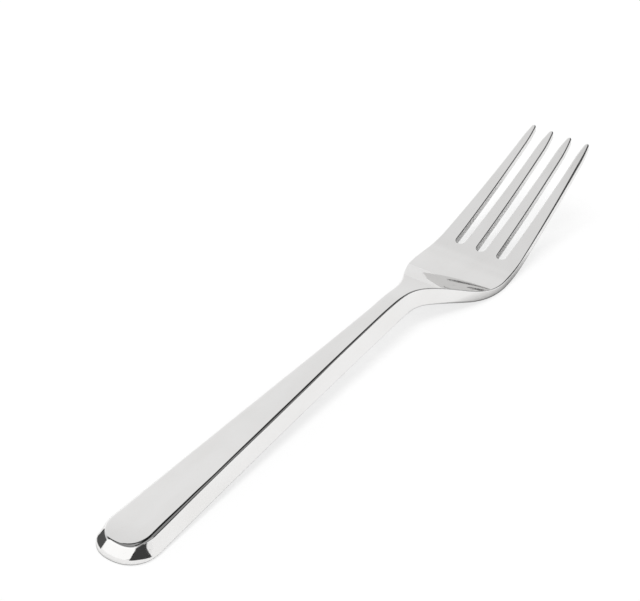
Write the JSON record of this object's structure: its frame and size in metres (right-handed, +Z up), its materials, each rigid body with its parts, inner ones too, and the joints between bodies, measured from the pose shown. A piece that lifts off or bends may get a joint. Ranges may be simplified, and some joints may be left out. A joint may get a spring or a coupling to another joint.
{
  "type": "fruit fork",
  "caption": "Small polished stainless steel table fork for fruit, with a tapering flat-topped handle, a slim arched neck and a shallow head with slender pointed tines",
  "frame": {"origin": "middle of the fork's footprint, on the surface that it lies on", "axes": "+X along the fork towards the tine tips, +Y to the fork's left seen from the tail, +Z up, tines curving up"},
  "size_m": [0.1699, 0.0226, 0.0174],
  "materials": {
    "polished_steel": "mirror polished stainless steel"
  },
  "bodies": {
    "root": {"handle": "polished_steel", "neck": "polished_steel", "head": "polished_steel", "tine_1": "polished_steel", "tine_2": "polished_steel", "tine_3": "polished_steel", "tine_4": "polished_steel"}
  },
  "joints": []
}
